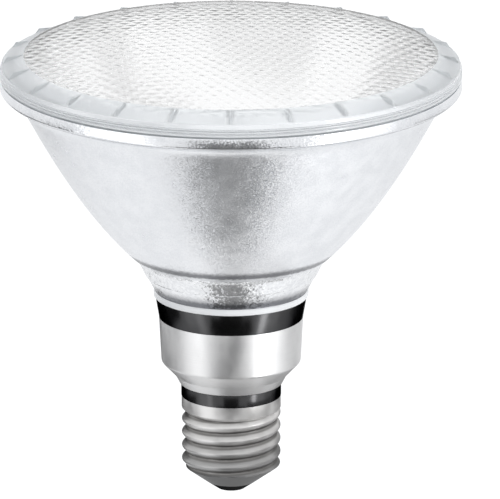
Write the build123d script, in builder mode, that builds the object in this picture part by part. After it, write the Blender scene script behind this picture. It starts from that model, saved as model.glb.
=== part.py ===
from build123d import *
import os
from math import hypot, sqrt

# A reflector spotlight bulb: pressed-glass lens and mirror bowl on a skirted screw base.
# Millimetres, +Z up along the axis of the lamp, origin at the middle of the contact face.

# Contact and tip
contact_radius = 2.4
contact_stand = 0.3
contact_seat = 0.6
stem_radius = 1.2
stem_length = 3.6
tip_radius = 3.6
tip_height = 2.1
plug_flange = 2.6
plug_depth = 4.4

# Screw shell
cone_small_radius = 6.6
cone_height = 4.8
thread_radius = 13.05
thread_depth = 1.1
thread_pitch = 25.4 / 7
thread_ridge = 3.2
thread_drop = 0.4
thread_length = 15.7
collar_stand = 0.05
collar_height = 3.2
shell_wall = 0.4

# Lower ring
lower_ring_stand = 0.1
lower_ring_height = 3.4
lower_ring_foot = 2.6
lower_ring_seat = 1.8
lower_ring_neck = 2.0

# Skirt
skirt_top_radius = 19.0
skirt_flare = 0.6
skirt_foot_stand = 0.3
skirt_waist_flare = 1.3
skirt_foot_height = 2.5
skirt_cone_height = 3.8
skirt_wall_height = 12.0
skirt_wall = 0.6
skirt_hip_round = 1.5
skirt_waist_round = 0.7

# Upper ring
upper_ring_flare = 1.0
upper_ring_height = 5.8
upper_ring_spigot = 3.0
upper_ring_wall = 1.05

# Reflector
rim_radius = 60.5
flange_overhang = 5.8
bowl_height = 41.5
spigot_wall = 1.9
spigot_foot = 3.5
floor_thickness = 3.0
lip_stand = 0.4
lip_height = 1.5
lip_groove = 0.3
neck_step_flare = 2.4
neck_step = 0.35
neck_step_height = 5.9
neck_top_flare = 1.7
neck_height = 9.8
heel_flare = 1.1
heel_height = 1.1
heel_wall = 3.3
flange_width = 4.8
flange_sweep = 4.0
flange_height = 3.0
flange_round = 0.8

# Rim seal and lens
seal_thickness = 0.4
seal_recess = 0.6
lens_rim_height = 2.0
lens_step = 0.3
lens_step_height = 1.1
lens_draft = 0.1
lens_round = 0.4
band_width = 6.0
band_rise = 2.6
dome_rise = 3.0
lens_wall = 3.0
rib_count = 24
rib_width = 0.9
rib_drop = 0.15
rib_fall = 0.75
rib_setback = 1.6
rib_slant = 1.1
rib_round = 0.6

# Capsule and filament
coil_radius = 1.4
coil_wire = 0.42
coil_length = 9.0
coil_turns = 6.5
capsule_radius = 5.5
capsule_wall = 1.0
capsule_tip_radius = 1.1
capsule_tip_height = 1.8
coil_room = 3.0
coil_foot_room = 1.2
pinch_thickness = 3.4
pinch_height = 7.0
foil_width = 2.4
foil_thickness = 0.14
foil_length = 3.4
foil_foot = 1.8
lead_spacing = 5.2
filament_lead_radius = 0.3
filament_lead_bend = 0.6
pin_radius = 0.4

# Ferrules, legs and wiring
ferrule_spacing = 16.0
ferrule_radius = 1.5
ferrule_flange = 0.8
ferrule_flange_height = 0.6
ferrule_tail = 1.0
leg_radius = 0.7
leg_rise = 1.6
leg_gap = 1.2
leg_bend = 1.2
leg_depth = 2.0
wire_radius = 0.4
wire_depth = 1.5
wire_bend = 3.0
wire_drop = 5.0
sleeve_wall = 0.5
sleeve_length = 18.0
return_weld = 5.0
return_slope = 4.0

# Fits
seat_clearance = 0.05
slip_clearance = 0.15

# Radii out from the axis
thread_root = thread_radius - thread_depth
collar_radius = thread_radius + collar_stand
lower_ring_radius = collar_radius + lower_ring_stand
lower_ring_neck_radius = lower_ring_radius - lower_ring_seat
skirt_foot_radius = lower_ring_radius + skirt_foot_stand
skirt_waist_radius = skirt_foot_radius + skirt_waist_flare
skirt_hip_radius = skirt_top_radius - skirt_flare
skirt_taper = skirt_flare / skirt_wall_height
upper_ring_radius = skirt_top_radius + upper_ring_flare
ring_spigot_radius = skirt_top_radius - skirt_wall - upper_ring_spigot * skirt_taper - slip_clearance
ring_bore = ring_spigot_radius - upper_ring_wall
spigot_radius = ring_bore - slip_clearance
pocket_radius = spigot_radius - spigot_wall
lip_radius = upper_ring_radius + lip_stand
neck_step_radius = lip_radius + neck_step_flare
neck_top_radius = neck_step_radius + neck_top_flare
heel_radius = neck_top_radius + heel_flare
bowl_radius = rim_radius - flange_overhang
lens_edge_radius = rim_radius - lens_step
dome_radius = lens_edge_radius - band_width
ferrule_x = ferrule_spacing / 2
lead_x = lead_spacing / 2

# Heights up the axis
tip_z = contact_stand
cone_z = tip_z + tip_height
thread_z = cone_z + cone_height
collar_z = thread_z + thread_length
shell_top_z = collar_z + collar_height
skirt_z = shell_top_z + lower_ring_height
waist_z = skirt_z + skirt_foot_height
hip_z = waist_z + skirt_cone_height
skirt_top_z = hip_z + skirt_wall_height
neck_z = skirt_top_z + upper_ring_height
neck_top_z = neck_z + neck_height
heel_z = neck_top_z + heel_height
bowl_top_z = heel_z + bowl_height
flange_z = bowl_top_z + flange_sweep
seam_z = flange_z + flange_height
lens_z = seam_z + seal_thickness
rim_step_z = lens_z + lens_rim_height
rim_top_z = rim_step_z + lens_step_height
band_z = rim_top_z + band_rise
apex_z = band_z + dome_rise

# Outer bowl wall and mirror are parabolas about the axis
bowl_four_focal = (bowl_radius**2 - heel_radius**2) / bowl_height
mirror_mouth = rim_radius - flange_width
mirror_heel = heel_radius - heel_wall
mirror_four_focal = (mirror_mouth**2 - mirror_heel**2) / (seam_z - heel_z)
mirror_vertex_z = heel_z - mirror_heel**2 / mirror_four_focal
focus_z = mirror_vertex_z + mirror_four_focal / 4
pocket_top_z = mirror_vertex_z + pocket_radius**2 / mirror_four_focal

# Capsule, legs and floor hang on the focus
coil_low_z = focus_z - coil_length / 2
coil_high_z = focus_z + coil_length / 2
shoulder_top_z = coil_high_z + coil_room
cavity_z = coil_low_z - coil_foot_room
pinch_top_z = cavity_z - capsule_wall
pinch_z = pinch_top_z - pinch_height
foil_z = pinch_z + foil_foot
foil_top_z = foil_z + foil_length
leg_z = pinch_z - leg_gap - leg_radius
floor_top_z = leg_z - leg_rise
floor_z = floor_top_z - floor_thickness
spigot_z = floor_z - spigot_foot


def parabola_arm(r_low, z_low, r_high, four_focal):
    """Control points of the parabola z = r * r / four_focal, shifted to start at (r_low, z_low)."""
    z_high = z_low + (r_high**2 - r_low**2) / four_focal
    z_mid = z_low + r_low * (r_high - r_low) / four_focal
    return (r_low, z_low), ((r_low + r_high) / 2, z_mid), (r_high, z_high)


os.makedirs("parts", exist_ok=True)

# Lens: rim wall with a small drafted step, smooth bevel band, gently domed face and 24 radial ribs
with BuildSketch(Plane.XZ) as rib_side:
    with BuildLine():
        rib_z = band_z - rib_drop
        rib_top = lens_edge_radius - rib_setback
        Polyline(
            (dome_radius, rim_top_z),
            (dome_radius, rib_z),
            (rib_top, rib_z - rib_fall),
            (rib_top + rib_slant, rim_top_z),
            close=True,
        )
    make_face()
    fillet(rib_side.vertices().group_by(Axis.X)[-2], radius=rib_round)
rib = extrude(rib_side.sketch, amount=rib_width / 2, both=True, mode=Mode.PRIVATE)

with BuildPart() as lens:
    with BuildSketch(Plane.XZ) as lens_section:
        with BuildLine():
            underside = TangentArc(
                (0, apex_z - lens_wall), (dome_radius, band_z - lens_wall), tangent=(1, 0)
            )
            Polyline(
                underside @ 1,
                (mirror_mouth, lens_z),
                (rim_radius, lens_z),
                (rim_radius, rim_step_z),
                (lens_edge_radius, rim_step_z),
                (lens_edge_radius - lens_draft, rim_top_z),
                (dome_radius, band_z),
            )
            face = TangentArc((0, apex_z), (dome_radius, band_z), tangent=(1, 0))
            Line(face @ 0, underside @ 0)
        make_face()
        fillet(lens_section.vertices().group_by(Axis.X)[-3], radius=lens_round)
    revolve(axis=Axis.Z)
    with PolarLocations(0, rib_count):
        add(rib)
lens.part.label = "lens"
export_step(lens.part, "parts/lens.step")

# Rim seal: flat ring of sealant in the seam, set back from the rim
with BuildPart() as rim_seal:
    with BuildSketch(Plane.XY.offset(seam_z)):
        Circle(rim_radius - seal_recess)
        Circle(mirror_mouth, mode=Mode.SUBTRACT)
    extrude(amount=seal_thickness)
rim_seal.part.label = "rim_seal"
export_step(rim_seal.part, "parts/rim_seal.step")

# Reflector: flange, parabolic bowl, heel, stepped neck, spigot and a floor with two ferrule holes
with BuildPart() as reflector:
    with BuildSketch(Plane.XZ) as bowl_section:
        with BuildLine():
            outside = Bezier(*parabola_arm(heel_radius, heel_z, bowl_radius, bowl_four_focal))
            flange = TangentArc(outside @ 1, (rim_radius, flange_z), tangent=outside % 1)
            Polyline(
                flange @ 1,
                (rim_radius, seam_z),
                (mirror_mouth, seam_z),
            )
            mirror_side = parabola_arm(pocket_radius, pocket_top_z, mirror_mouth, mirror_four_focal)
            Bezier(*mirror_side)
            Polyline(
                (pocket_radius, pocket_top_z),
                (pocket_radius, floor_top_z),
                (0, floor_top_z),
                (0, floor_z),
                (pocket_radius, floor_z),
                (pocket_radius, spigot_z),
                (spigot_radius, spigot_z),
                (spigot_radius, neck_z),
                (lip_radius, neck_z),
                (lip_radius, neck_z + lip_height),
                (lip_radius - lip_groove, neck_z + lip_height + lip_groove),
                (neck_step_radius - neck_step, neck_z + neck_step_height),
                (neck_step_radius, neck_z + neck_step_height + neck_step),
                (neck_top_radius, neck_top_z),
                outside @ 0,
            )
        make_face()
        flange_corners = bowl_section.vertices().group_by(Axis.X)[-1]
        fillet(flange_corners.sort_by(Axis.Y)[0], radius=flange_round)
    revolve(axis=Axis.Z)
    with Locations((-ferrule_x, 0, floor_top_z), (ferrule_x, 0, floor_top_z)):
        Hole(ferrule_radius + seat_clearance, depth=floor_thickness)
reflector.part.label = "reflector"
export_step(reflector.part, "parts/reflector.step")

# Upper ring: tapered black collar with a spigot into the skirt
with BuildPart() as upper_ring:
    with BuildSketch(Plane.XZ):
        with BuildLine():
            Polyline(
                (ring_bore, skirt_top_z - upper_ring_spigot),
                (ring_spigot_radius, skirt_top_z - upper_ring_spigot),
                (ring_spigot_radius, skirt_top_z),
                (skirt_top_radius, skirt_top_z),
                (upper_ring_radius, neck_z),
                (ring_bore, neck_z),
                close=True,
            )
        make_face()
    revolve(axis=Axis.Z)
upper_ring.part.label = "upper_ring"
export_step(upper_ring.part, "parts/upper_ring.step")

# Skirt: spun sheet with an in-turned foot, a tapered shoulder and a slightly flared wall
skirt_hole = lower_ring_neck_radius + slip_clearance
trim = skirt_wall
with BuildPart() as skirt:
    with BuildSketch(Plane.XZ):
        with BuildLine():
            sheet = FilletPolyline(
                (skirt_hole, skirt_z),
                (skirt_foot_radius, skirt_z),
                (skirt_waist_radius, waist_z),
                (skirt_hip_radius, hip_z),
                (skirt_top_radius + trim * skirt_taper, skirt_top_z + trim),
                radius=[skirt_wall, skirt_waist_round, skirt_hip_round],
            )
            offset(sheet, amount=skirt_wall, side=Side.LEFT)
        make_face()
    revolve(axis=Axis.Z)
    split(bisect_by=Plane.XY.offset(skirt_top_z), keep=Keep.BOTTOM)
skirt.part.label = "skirt"
export_step(skirt.part, "parts/skirt.step")

# Lower ring: black insulator that seats in the shell's collar and carries the skirt's foot
collar_bore = collar_radius - shell_wall
wire_bore = ferrule_x + wire_radius + slip_clearance
with BuildPart() as lower_ring:
    with BuildSketch(Plane.XZ):
        with BuildLine():
            Polyline(
                (wire_bore, shell_top_z - lower_ring_foot),
                (collar_bore - slip_clearance, shell_top_z - lower_ring_foot),
                (collar_bore - slip_clearance, shell_top_z),
                (lower_ring_radius, shell_top_z),
                (lower_ring_radius, skirt_z),
                (lower_ring_neck_radius, skirt_z),
                (lower_ring_neck_radius, skirt_z + lower_ring_neck),
                (wire_bore, skirt_z + lower_ring_neck),
                close=True,
            )
        make_face()
    revolve(axis=Axis.Z)
lower_ring.part.label = "lower_ring"
export_step(lower_ring.part, "parts/lower_ring.step")

# Screw shell: rolled right-hand knuckle thread between a plain collar and a coned end
cone_run = collar_radius - cone_small_radius
cone_slope = cone_height / cone_run
cone_wall_rise = shell_wall * hypot(1, cone_slope)
shell_bore = thread_root - shell_wall
ridge_round = (thread_ridge**2 / 4 + thread_depth**2) / (2 * thread_depth)
ridge_sink = shell_wall / 2
ridge_half = sqrt(ridge_round**2 - (ridge_round - thread_depth - ridge_sink) ** 2)
with BuildPart() as screw_shell:
    with BuildLine() as thread_path:
        helix_z = thread_z - thread_drop - thread_pitch
        helix_top = collar_z + thread_ridge / 2
        Helix(thread_pitch, helix_top - helix_z, thread_root, center=(0, 0, helix_z))
    ridge_start = thread_path.line @ 0
    with BuildSketch(Plane(ridge_start, x_dir=(1, 0, 0), z_dir=thread_path.line % 0)):
        with BuildLine():
            crest = ThreePointArc(
                (-ridge_sink, -ridge_half), (thread_depth, 0), (-ridge_sink, ridge_half)
            )
            Line(crest @ 1, crest @ 0)
        make_face()
    sweep(path=thread_path.line, is_frenet=True)
    with BuildSketch(Plane.XZ):
        with BuildLine():
            Polyline(
                (0, cone_z),
                (cone_small_radius, cone_z),
                (thread_root, cone_z + (thread_root - cone_small_radius) * cone_slope),
                (thread_root, collar_z - thread_depth),
                (collar_radius, collar_z),
                (collar_radius, shell_top_z),
                (0, shell_top_z),
                close=True,
            )
        make_face()
    revolve(axis=Axis.Z)
    with BuildSketch(Plane.XZ):
        with BuildLine():
            Polyline(
                (0, cone_z),
                (cone_small_radius, cone_z),
                (collar_radius, thread_z),
                (collar_radius, shell_top_z),
                (0, shell_top_z),
                close=True,
            )
        make_face()
    revolve(axis=Axis.Z, mode=Mode.INTERSECT)
    with BuildSketch(Plane.XZ):
        with BuildLine():
            shoulder_z = shell_top_z - lower_ring_foot
            inner_cone_z = cone_z + cone_wall_rise
            Polyline(
                (0, cone_z),
                (cone_small_radius, cone_z),
                (cone_small_radius, inner_cone_z),
                (shell_bore, inner_cone_z + (shell_bore - cone_small_radius) * cone_slope),
                (shell_bore, shoulder_z),
                (collar_bore, shoulder_z),
                (collar_bore, shell_top_z),
                (0, shell_top_z),
                close=True,
            )
        make_face()
    revolve(axis=Axis.Z, mode=Mode.SUBTRACT)
screw_shell.part.label = "screw_shell"
export_step(screw_shell.part, "parts/screw_shell.step")

# Base insulator: plug through the coned end, counterbored for the contact rivet
plug_neck = cone_small_radius - seat_clearance
plug_radius = plug_neck + plug_flange
plug_seat_z = inner_cone_z + seat_clearance
with BuildPart() as base_insulator:
    with BuildSketch(Plane.XZ):
        with BuildLine():
            Polyline(
                (stem_radius + seat_clearance, tip_z + contact_seat + seat_clearance),
                (contact_radius + seat_clearance, tip_z + contact_seat + seat_clearance),
                (contact_radius + seat_clearance, tip_z),
                (tip_radius, tip_z),
                (cone_small_radius, cone_z),
                (plug_neck, cone_z),
                (plug_neck, plug_seat_z),
                (plug_radius, plug_seat_z + plug_flange * cone_slope),
                (plug_radius, cone_z + plug_depth),
                (stem_radius + seat_clearance, cone_z + plug_depth),
                close=True,
            )
        make_face()
    revolve(axis=Axis.Z)
base_insulator.part.label = "base_insulator"
export_step(base_insulator.part, "parts/base_insulator.step")

# Centre contact: rivet head at the tip with a hollow stem that takes the live wire
head_top_z = contact_stand + contact_seat
stem_top_z = head_top_z + stem_length
with BuildPart() as centre_contact:
    Cylinder(contact_radius, head_top_z, align=(Align.CENTER, Align.CENTER, Align.MIN))
    chamfer(centre_contact.edges().sort_by(Axis.Z)[0], length=contact_stand / 2)
    with Locations((0, 0, head_top_z)):
        Cylinder(stem_radius, stem_length, align=(Align.CENTER, Align.CENTER, Align.MIN))
    with Locations((0, 0, stem_top_z)):
        Hole(wire_radius + seat_clearance, depth=stem_length)
centre_contact.part.label = "centre_contact"
export_step(centre_contact.part, "parts/centre_contact.step")

# Capsule: quartz tube with a domed top, sealed exhaust tip and a flat pinch with the foil slots
cavity_radius = capsule_radius - capsule_wall
with BuildPart() as capsule:
    with BuildSketch(Plane.XZ):
        with BuildLine():
            dome = CenterArc((0, shoulder_top_z), capsule_radius, 0, 90)
            Polyline(dome @ 1, (0, pinch_top_z), (capsule_radius, pinch_top_z), dome @ 0)
        make_face()
    revolve(axis=Axis.Z)
    with Locations((0, 0, shoulder_top_z + cavity_radius)):
        Cylinder(
            capsule_tip_radius,
            capsule_wall + capsule_tip_height,
            align=(Align.CENTER, Align.CENTER, Align.MIN),
        )
    chamfer(capsule.edges().sort_by(Axis.Z)[-1], length=capsule_tip_radius / 2)
    with Locations((0, 0, pinch_z)):
        Box(
            2 * capsule_radius,
            pinch_thickness,
            pinch_height,
            align=(Align.CENTER, Align.CENTER, Align.MIN),
        )
    with BuildSketch(Plane.XZ):
        with BuildLine():
            dome = CenterArc((0, shoulder_top_z), cavity_radius, 0, 90)
            Polyline(dome @ 1, (0, cavity_z), (cavity_radius, cavity_z), dome @ 0)
        make_face()
    revolve(axis=Axis.Z, mode=Mode.SUBTRACT)
    with Locations((-lead_x, 0, cavity_z), (lead_x, 0, cavity_z)):
        Hole(filament_lead_radius + seat_clearance, depth=cavity_z - foil_top_z)
    with Locations((-lead_x, 0, foil_z), (lead_x, 0, foil_z)):
        Box(
            foil_width + 2 * seat_clearance,
            foil_thickness + 2 * seat_clearance,
            foil_length,
            align=(Align.CENTER, Align.CENTER, Align.MIN),
            mode=Mode.SUBTRACT,
        )
        Hole(pin_radius + seat_clearance, depth=foil_foot)
capsule.part.label = "capsule"
export_step(capsule.part, "parts/capsule.step")

# Filament: open coil of square section along the axis, centred on the focus
with BuildPart() as filament:
    with BuildLine() as coil_path:
        Helix(coil_length / coil_turns, coil_length, coil_radius, center=(0, 0, coil_low_z))
    coil_plane = Plane(coil_path.line @ 0, x_dir=(1, 0, 0), z_dir=coil_path.line % 0)
    with BuildSketch(coil_plane):
        Rectangle(coil_wire, coil_wire)
    sweep(path=coil_path.line, is_frenet=True)
filament.part.label = "filament"
export_step(filament.part, "parts/filament.step")

# Left and right halves of the current path, from the coil's ends down to the ferrules
coil_reach = coil_radius + coil_wire / 2 + seat_clearance
for side, sign, coil_end_z in (("left", -1, coil_high_z), ("right", 1, coil_low_z)):
    with BuildPart() as filament_lead:
        with BuildLine() as lead_path:
            FilletPolyline(
                (sign * lead_x, 0, foil_top_z),
                (sign * lead_x, 0, coil_end_z),
                (sign * coil_reach, 0, coil_end_z),
                radius=filament_lead_bend,
            )
        with BuildSketch(Plane(lead_path.line @ 0)):
            Circle(filament_lead_radius)
        sweep(path=lead_path.line)
    filament_lead.part.label = f"filament_lead_{side}"
    export_step(filament_lead.part, f"parts/filament_lead_{side}.step")

    with BuildPart() as foil:
        with Locations((sign * lead_x, 0, foil_z)):
            Box(
                foil_width,
                foil_thickness,
                foil_length,
                align=(Align.CENTER, Align.CENTER, Align.MIN),
            )
    foil.part.label = f"foil_{side}"
    export_step(foil.part, f"parts/foil_{side}.step")

    with BuildPart() as pin:
        with Locations((sign * lead_x, 0, leg_z - leg_radius)):
            Cylinder(
                pin_radius,
                foil_z - leg_z + leg_radius,
                align=(Align.CENTER, Align.CENTER, Align.MIN),
            )
    pin.part.label = f"pin_{side}"
    export_step(pin.part, f"parts/pin_{side}.step")

    with BuildPart() as leg:
        with BuildLine() as leg_path:
            FilletPolyline(
                (sign * (lead_x + pin_radius + seat_clearance), 0, leg_z),
                (sign * ferrule_x, 0, leg_z),
                (sign * ferrule_x, 0, floor_top_z - leg_depth),
                radius=leg_bend,
            )
        with BuildSketch(Plane(leg_path.line @ 0, z_dir=leg_path.line % 0)):
            Circle(leg_radius)
        sweep(path=leg_path.line)
    leg.part.label = f"leg_{side}"
    export_step(leg.part, f"parts/leg_{side}.step")

    with BuildPart() as ferrule:
        with Locations((sign * ferrule_x, 0, floor_z - ferrule_tail)):
            Cylinder(
                ferrule_radius,
                floor_thickness + ferrule_tail,
                align=(Align.CENTER, Align.CENTER, Align.MIN),
            )
        with Locations((sign * ferrule_x, 0, floor_top_z)):
            Cylinder(
                ferrule_radius + ferrule_flange,
                ferrule_flange_height,
                align=(Align.CENTER, Align.CENTER, Align.MIN),
            )
        with Locations((sign * ferrule_x, 0, floor_top_z + ferrule_flange_height)):
            Hole(leg_radius + seat_clearance)
    ferrule.part.label = f"ferrule_{side}"
    export_step(ferrule.part, f"parts/ferrule_{side}.step")

# Live lead: from the left ferrule to the axis and down into the contact's stem
wire_top_z = floor_z - ferrule_tail + wire_depth
wire_bend_z = floor_z - ferrule_tail - wire_drop
with BuildPart() as live_lead:
    with BuildLine() as live_path:
        FilletPolyline(
            (-ferrule_x, 0, wire_top_z),
            (-ferrule_x, 0, wire_bend_z),
            (0, 0, wire_bend_z - ferrule_x),
            (0, 0, head_top_z + seat_clearance),
            radius=wire_bend,
        )
    with BuildSketch(Plane(live_path.line @ 0, z_dir=live_path.line % 0)):
        Circle(wire_radius)
    sweep(path=live_path.line)
live_lead.part.label = "live_lead"
export_step(live_lead.part, "parts/live_lead.step")

# Lead sleeve: insulating tube on the straight run of the live lead, standing on the stem
with BuildPart() as lead_sleeve:
    with BuildSketch(Plane.XY.offset(stem_top_z)):
        Circle(wire_radius + seat_clearance + sleeve_wall)
        Circle(wire_radius + seat_clearance, mode=Mode.SUBTRACT)
    extrude(amount=sleeve_length)
lead_sleeve.part.label = "lead_sleeve"
export_step(lead_sleeve.part, "parts/lead_sleeve.step")

# Return lead: from the right ferrule through the lower ring and out to the wall of the screw shell
return_x = shell_bore - wire_radius - seat_clearance
return_top_z = shell_top_z - lower_ring_foot - wire_bend
with BuildPart() as return_lead:
    with BuildLine() as return_path:
        FilletPolyline(
            (ferrule_x, 0, wire_top_z),
            (ferrule_x, 0, return_top_z),
            (return_x, 0, return_top_z - return_slope),
            (return_x, 0, return_top_z - return_slope - return_weld),
            radius=wire_bend,
        )
    with BuildSketch(Plane(return_path.line @ 0, z_dir=return_path.line % 0)):
        Circle(wire_radius)
    sweep(path=return_path.line)
return_lead.part.label = "return_lead"
export_step(return_lead.part, "parts/return_lead.step")
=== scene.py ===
"""Dressed model of a reflector spotlight bulb: lens, bowl, collars, skirt, screw cap and burner."""

import logging
import math
from dataclasses import dataclass, field
from enum import Enum
from typing import Callable, Iterable, NamedTuple

import bmesh
import bpy
from mathutils import Matrix, Vector
from mathutils.geometry import intersect_line_line_2d


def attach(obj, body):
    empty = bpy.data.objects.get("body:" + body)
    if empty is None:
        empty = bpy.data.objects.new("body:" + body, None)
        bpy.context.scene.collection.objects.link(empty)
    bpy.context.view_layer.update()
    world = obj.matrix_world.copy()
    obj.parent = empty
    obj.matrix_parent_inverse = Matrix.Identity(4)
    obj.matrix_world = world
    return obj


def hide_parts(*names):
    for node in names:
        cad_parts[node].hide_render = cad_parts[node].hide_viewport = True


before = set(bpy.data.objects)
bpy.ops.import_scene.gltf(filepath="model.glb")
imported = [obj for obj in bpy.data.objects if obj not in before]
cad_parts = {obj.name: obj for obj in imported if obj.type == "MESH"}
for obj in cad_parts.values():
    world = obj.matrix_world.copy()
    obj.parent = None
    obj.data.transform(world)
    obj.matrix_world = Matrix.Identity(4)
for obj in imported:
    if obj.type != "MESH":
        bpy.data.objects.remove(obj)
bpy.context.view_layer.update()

MM = 0.001
BODY = "root"
SHARP_ANGLE = math.radians(32)
WELD = 1e-7
SEAM_WELD = 1e-6
log = logging.getLogger("bulb")

Point = tuple[float, float]
Point3 = tuple[float, float, float]
Colour = tuple[float, float, float, float]
Material = bpy.types.Material
Node = bpy.types.Node
Piece = bpy.types.Object
Shape = bmesh.types.BMesh
Socket = bpy.types.NodeSocket

WHITE: Colour = (1.0, 1.0, 1.0, 1.0)
BRASS: tuple[Colour, Colour] = ((0.74, 0.66, 0.46, 1.0), (0.58, 0.5, 0.33, 1.0))


class Corner(NamedTuple):
    """Corner of a half section, in millimetres out from and up the axis, with its rounding radius."""

    r: float
    z: float
    rounding: float = 0.0


def arc(middle: Vector, first: Vector, last: Vector, steps: int) -> list[Point]:
    """Points along an arc, its two ends among them.

    Args:
        middle: Centre of the arc.
        first: First point, from the centre.
        last: Last point, from the centre.
        steps: How many stretches to make.

    Returns:
        Points in order.
    """
    turn = first.angle_signed(last)
    spots = [middle + Matrix.Rotation(-turn * step / steps, 2) @ first for step in range(steps + 1)]
    return [(spot.x, spot.y) for spot in spots]


class Section:
    """Half section of a turned piece, gathered corner by corner in millimetres."""

    ARC_STEPS = 5

    def __init__(self, *corners: Corner) -> None:
        """Starts with the corners that are given, if any."""
        self.corners: list[Corner] = list(corners)

    def to(self, r: float, z: float, rounding: float = 0.0) -> "Section":
        """Adds a corner out from and up the axis, with its rounding, and gives the section back."""
        self.corners.append(Corner(r, z, rounding))
        return self

    def through(self, points: Iterable[Point]) -> "Section":
        """Adds a run of sharp corners that follow a curve and gives the section back."""
        self.corners += [Corner(r, z) for r, z in points]
        return self

    def outline(self, closed: bool = True) -> list[Point]:
        """Rounds the corners off.

        Args:
            closed: Whether the last corner joins the first.

        Returns:
            Points of the section in order.
        """
        points: list[Point] = []
        count = len(self.corners)
        for i, corner in enumerate(self.corners):
            inner = closed or 0 < i < count - 1
            if corner.rounding and inner:
                before, after = self.corners[i - 1], self.corners[(i + 1) % count]
                points += self._rounded(corner, before, after)
            else:
                points.append((corner.r, corner.z))
        return points

    def _rounded(self, corner: Corner, before: Corner, after: Corner) -> list[Point]:
        """Points of the arc that replaces one corner.

        Args:
            corner: The corner to round.
            before: The corner ahead of it.
            after: The corner behind it.

        Returns:
            Points from one tangent point to the other.
        """
        here = Vector((corner.r, corner.z))
        back = (Vector((before.r, before.z)) - here).normalized()
        on = (Vector((after.r, after.z)) - here).normalized()
        half = math.acos(max(-1.0, min(1.0, back.dot(on)))) / 2
        reach = corner.rounding / math.tan(half)
        middle = here + (back + on).normalized() * (corner.rounding / math.sin(half))
        return arc(middle, here + back * reach - middle, here + on * reach - middle, self.ARC_STEPS)


def parabola(start: Point, end: Point, steps: int) -> list[Point]:
    """Points along a parabola about the axis, its two ends among them.

    Args:
        start: First point, out from and up the axis.
        end: Last point.
        steps: How many stretches to make.

    Returns:
        Points in order.
    """
    rise = (end[1] - start[1]) / (end[0] ** 2 - start[0] ** 2)
    radii = [start[0] + (end[0] - start[0]) * i / steps for i in range(steps + 1)]
    return [(r, start[1] + rise * (r * r - start[0] ** 2)) for r in radii]


def tangent_arc(start: Point, tangent: Point, end: Point, steps: int) -> list[Point]:
    """Points along the arc that leaves start along a tangent and reaches end.

    Args:
        start: First point.
        tangent: Direction of the arc at its first point.
        end: Last point.
        steps: How many stretches to make.

    Returns:
        Points in order.
    """
    begin, along = Vector(start), Vector(tangent).normalized()
    chord = Vector(end) - begin
    across = Vector((along.y, -along.x))
    radius = chord.length_squared / (2 * chord.dot(across))
    middle = begin + across * radius
    return arc(middle, begin - middle, Vector(end) - middle, steps)


def spherical(apex_z: float, edge: Point, radius: float) -> float:
    """Height of a shallow spherical face.

    Args:
        apex_z: Height on the axis.
        edge: A point of the face away from the axis.
        radius: Distance from the axis at which the height is wanted.

    Returns:
        Height up the axis.
    """
    rise = apex_z - edge[1]
    ball = (edge[0] ** 2 + rise**2) / (2 * rise)
    return apex_z - ball + math.sqrt(ball**2 - radius**2)


def inset_path(path: list[Point], wall: float) -> list[Point]:
    """Follows a path at a distance to its left.

    Args:
        path: Points of the outer face.
        wall: Thickness of the sheet.

    Returns:
        Points of the inner face, in the same order.
    """
    shifted = []
    for i, spot in enumerate(path):
        here = Vector(spot)
        runs = []
        if i > 0:
            runs.append((here - Vector(path[i - 1])).normalized())
        if i < len(path) - 1:
            runs.append((Vector(path[i + 1]) - here).normalized())
        lefts = [Vector((-run.y, run.x)) for run in runs]
        mean = sum(lefts, Vector((0.0, 0.0))).normalized()
        moved = here + mean * (wall / mean.dot(lefts[0]))
        shifted.append((moved.x, moved.y))
    return shifted


def turn_section(
    bm: Shape, outline: list[Point], segments: int, closed: bool, start: float = 0.0
) -> None:
    """Spins a half section about the axis.

    Args:
        bm: The mesh to add to.
        outline: Points of the section in millimetres.
        segments: How many facets go round.
        closed: Whether the last point joins the first.
        start: Angle at which the spin begins.
    """
    side = Matrix.Rotation(start, 3, "Z")
    verts = [bm.verts.new(side @ Vector((r * MM, 0.0, z * MM))) for r, z in outline]
    pairs = list(zip(verts, verts[1:])) + ([(verts[-1], verts[0])] if closed else [])
    edges = [bm.edges.new(pair) for pair in pairs]
    bmesh.ops.spin(
        bm,
        geom=verts + edges,
        cent=(0, 0, 0),
        axis=(0, 0, 1),
        angle=math.tau,
        steps=segments,
        use_merge=True,
    )
    bmesh.ops.remove_doubles(bm, verts=bm.verts, dist=WELD)


def finish_piece(bm: Shape, name: str, slot: str, node: str, *materials: Material) -> str:
    """Makes a mesh object of a finished shape, ties it to the frame and dresses it.

    Args:
        bm: The finished shape, which is freed.
        name: Name of the piece.
        slot: Material slot of the record; not used.
        node: CAD node that the piece stands for.
        materials: Materials in the order of the faces' numbers.

    Returns:
        The piece's name.
    """
    bmesh.ops.recalc_face_normals(bm, faces=bm.faces)
    mesh = bpy.data.meshes.new(name)
    bm.to_mesh(mesh)
    bm.free()
    mesh.shade_smooth()
    mesh.set_sharp_from_angle(angle=SHARP_ANGLE)
    piece = bpy.data.objects.new(name, mesh)
    bpy.context.scene.collection.objects.link(piece)
    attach(piece, BODY)
    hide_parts(node)
    for material in materials:
        mesh.materials.append(material)
    return name


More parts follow.
